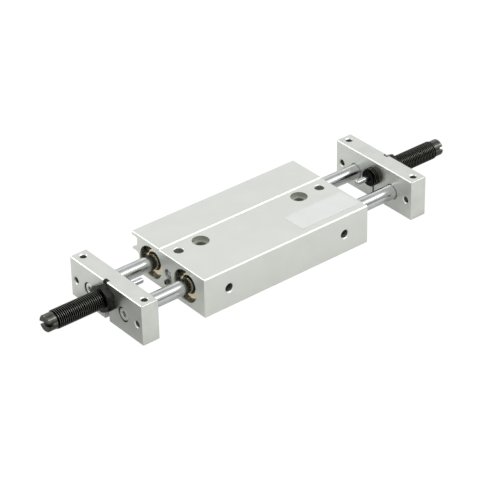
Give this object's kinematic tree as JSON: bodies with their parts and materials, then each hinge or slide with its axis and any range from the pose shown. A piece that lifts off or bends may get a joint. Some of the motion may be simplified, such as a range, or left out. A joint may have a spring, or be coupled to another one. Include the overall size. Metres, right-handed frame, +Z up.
{
  "type": "twin rod pneumatic cylinder",
  "caption": "Slim twin rod air cylinder: an extruded block with a sensor rail guides through rods joined by end plates that carry shock absorbers.",
  "frame": {"origin": "middle of the body block's flat underside", "axes": "+X along the rods, -Y towards the side with the air ports, +Z up away from the mounting face"},
  "size_m": [0.2566, 0.059, 0.0236],
  "materials": {
    "body_aluminium": "clear anodised, fine satin",
    "plate_aluminium": "clear anodised, fine satin",
    "hard_chrome": "ground and hard-chrome plated",
    "bronze_cover": "turned, pale bronze",
    "sintered_bronze": "porous bearing bronze",
    "black_rubber": "moulded nitrile rubber",
    "urethane": "moulded urethane",
    "spring_steel": "phosphated spring steel",
    "zinc_steel": "bright zinc plate",
    "piston_aluminium": "turned",
    "nylon": "turned nylon",
    "bonded_magnet": "plastic-bonded ferrite",
    "black_steel": "black oxide, rolled thread",
    "dark_steel": "dark oxide, turned",
    "ground_steel": "ground hardened steel"
  },
  "bodies": {
    "housing": {"body_block": "body_aluminium", "rod_cover_near_left": "bronze_cover", "rod_cover_near_right": "bronze_cover", "rod_cover_far_left": "bronze_cover", "rod_cover_far_right": "bronze_cover", "rod_seal_near_left": "black_rubber", "rod_seal_near_right": "black_rubber", "rod_seal_far_left": "black_rubber", "rod_seal_far_right": "black_rubber", "guide_bush_near_left": "sintered_bronze", "guide_bush_near_right": "sintered_bronze", "guide_bush_far_left": "sintered_bronze", "guide_bush_far_right": "sintered_bronze", "cover_o_ring_near_left": "black_rubber", "cover_o_ring_near_right": "black_rubber", "cover_o_ring_far_left": "black_rubber", "cover_o_ring_far_right": "black_rubber", "bumper_near_left": "urethane", "bumper_near_right": "urethane", "bumper_far_left": "urethane", "bumper_far_right": "urethane", "retaining_ring_near_left": "spring_steel", "retaining_ring_near_right": "spring_steel", "retaining_ring_far_left": "spring_steel", "retaining_ring_far_right": "spring_steel", "port_plug_left": "zinc_steel", "port_plug_right": "zinc_steel", "passage_plug_left": "zinc_steel", "passage_plug_right": "zinc_steel", "bleed_screw_left": "zinc_steel", "bleed_screw_right": "zinc_steel"},
    "carriage": {"rod_near": "hard_chrome", "rod_far": "hard_chrome", "piston_near": "piston_aluminium", "piston_far": "piston_aluminium", "piston_seals_near": "black_rubber", "piston_seals_far": "black_rubber", "rod_clips_near": "spring_steel", "rod_clips_far": "spring_steel", "wear_ring_near": "nylon", "magnet_ring_far": "bonded_magnet", "end_plate_left": "plate_aluminium", "end_plate_right": "plate_aluminium", "plate_screws_left": "zinc_steel", "plate_screws_right": "zinc_steel", "absorber_body_left": "black_steel", "absorber_body_right": "black_steel", "absorber_cap_left": "dark_steel", "absorber_cap_right": "dark_steel", "lock_nut_left": "black_steel", "lock_nut_right": "black_steel"},
    "left_plunger": {"plunger_left": "ground_steel"},
    "right_plunger": {"plunger_right": "ground_steel"}
  },
  "joints": [
    {"name": "carriage_slide", "type": "slide", "parent": "housing", "child": "carriage", "axis": [1, 0, 0], "range_m": [-0.0181, 0.0157]},
    {"name": "left_plunger_press", "type": "slide", "parent": "carriage", "child": "left_plunger", "axis": [-1, 0, 0], "range_m": [0, 0.0079], "stiffness_N_per_m": 300, "springref_m": -0.01},
    {"name": "right_plunger_press", "type": "slide", "parent": "carriage", "child": "right_plunger", "axis": [1, 0, 0], "range_m": [0, 0.0079], "stiffness_N_per_m": 300, "springref_m": -0.01}
  ]
}
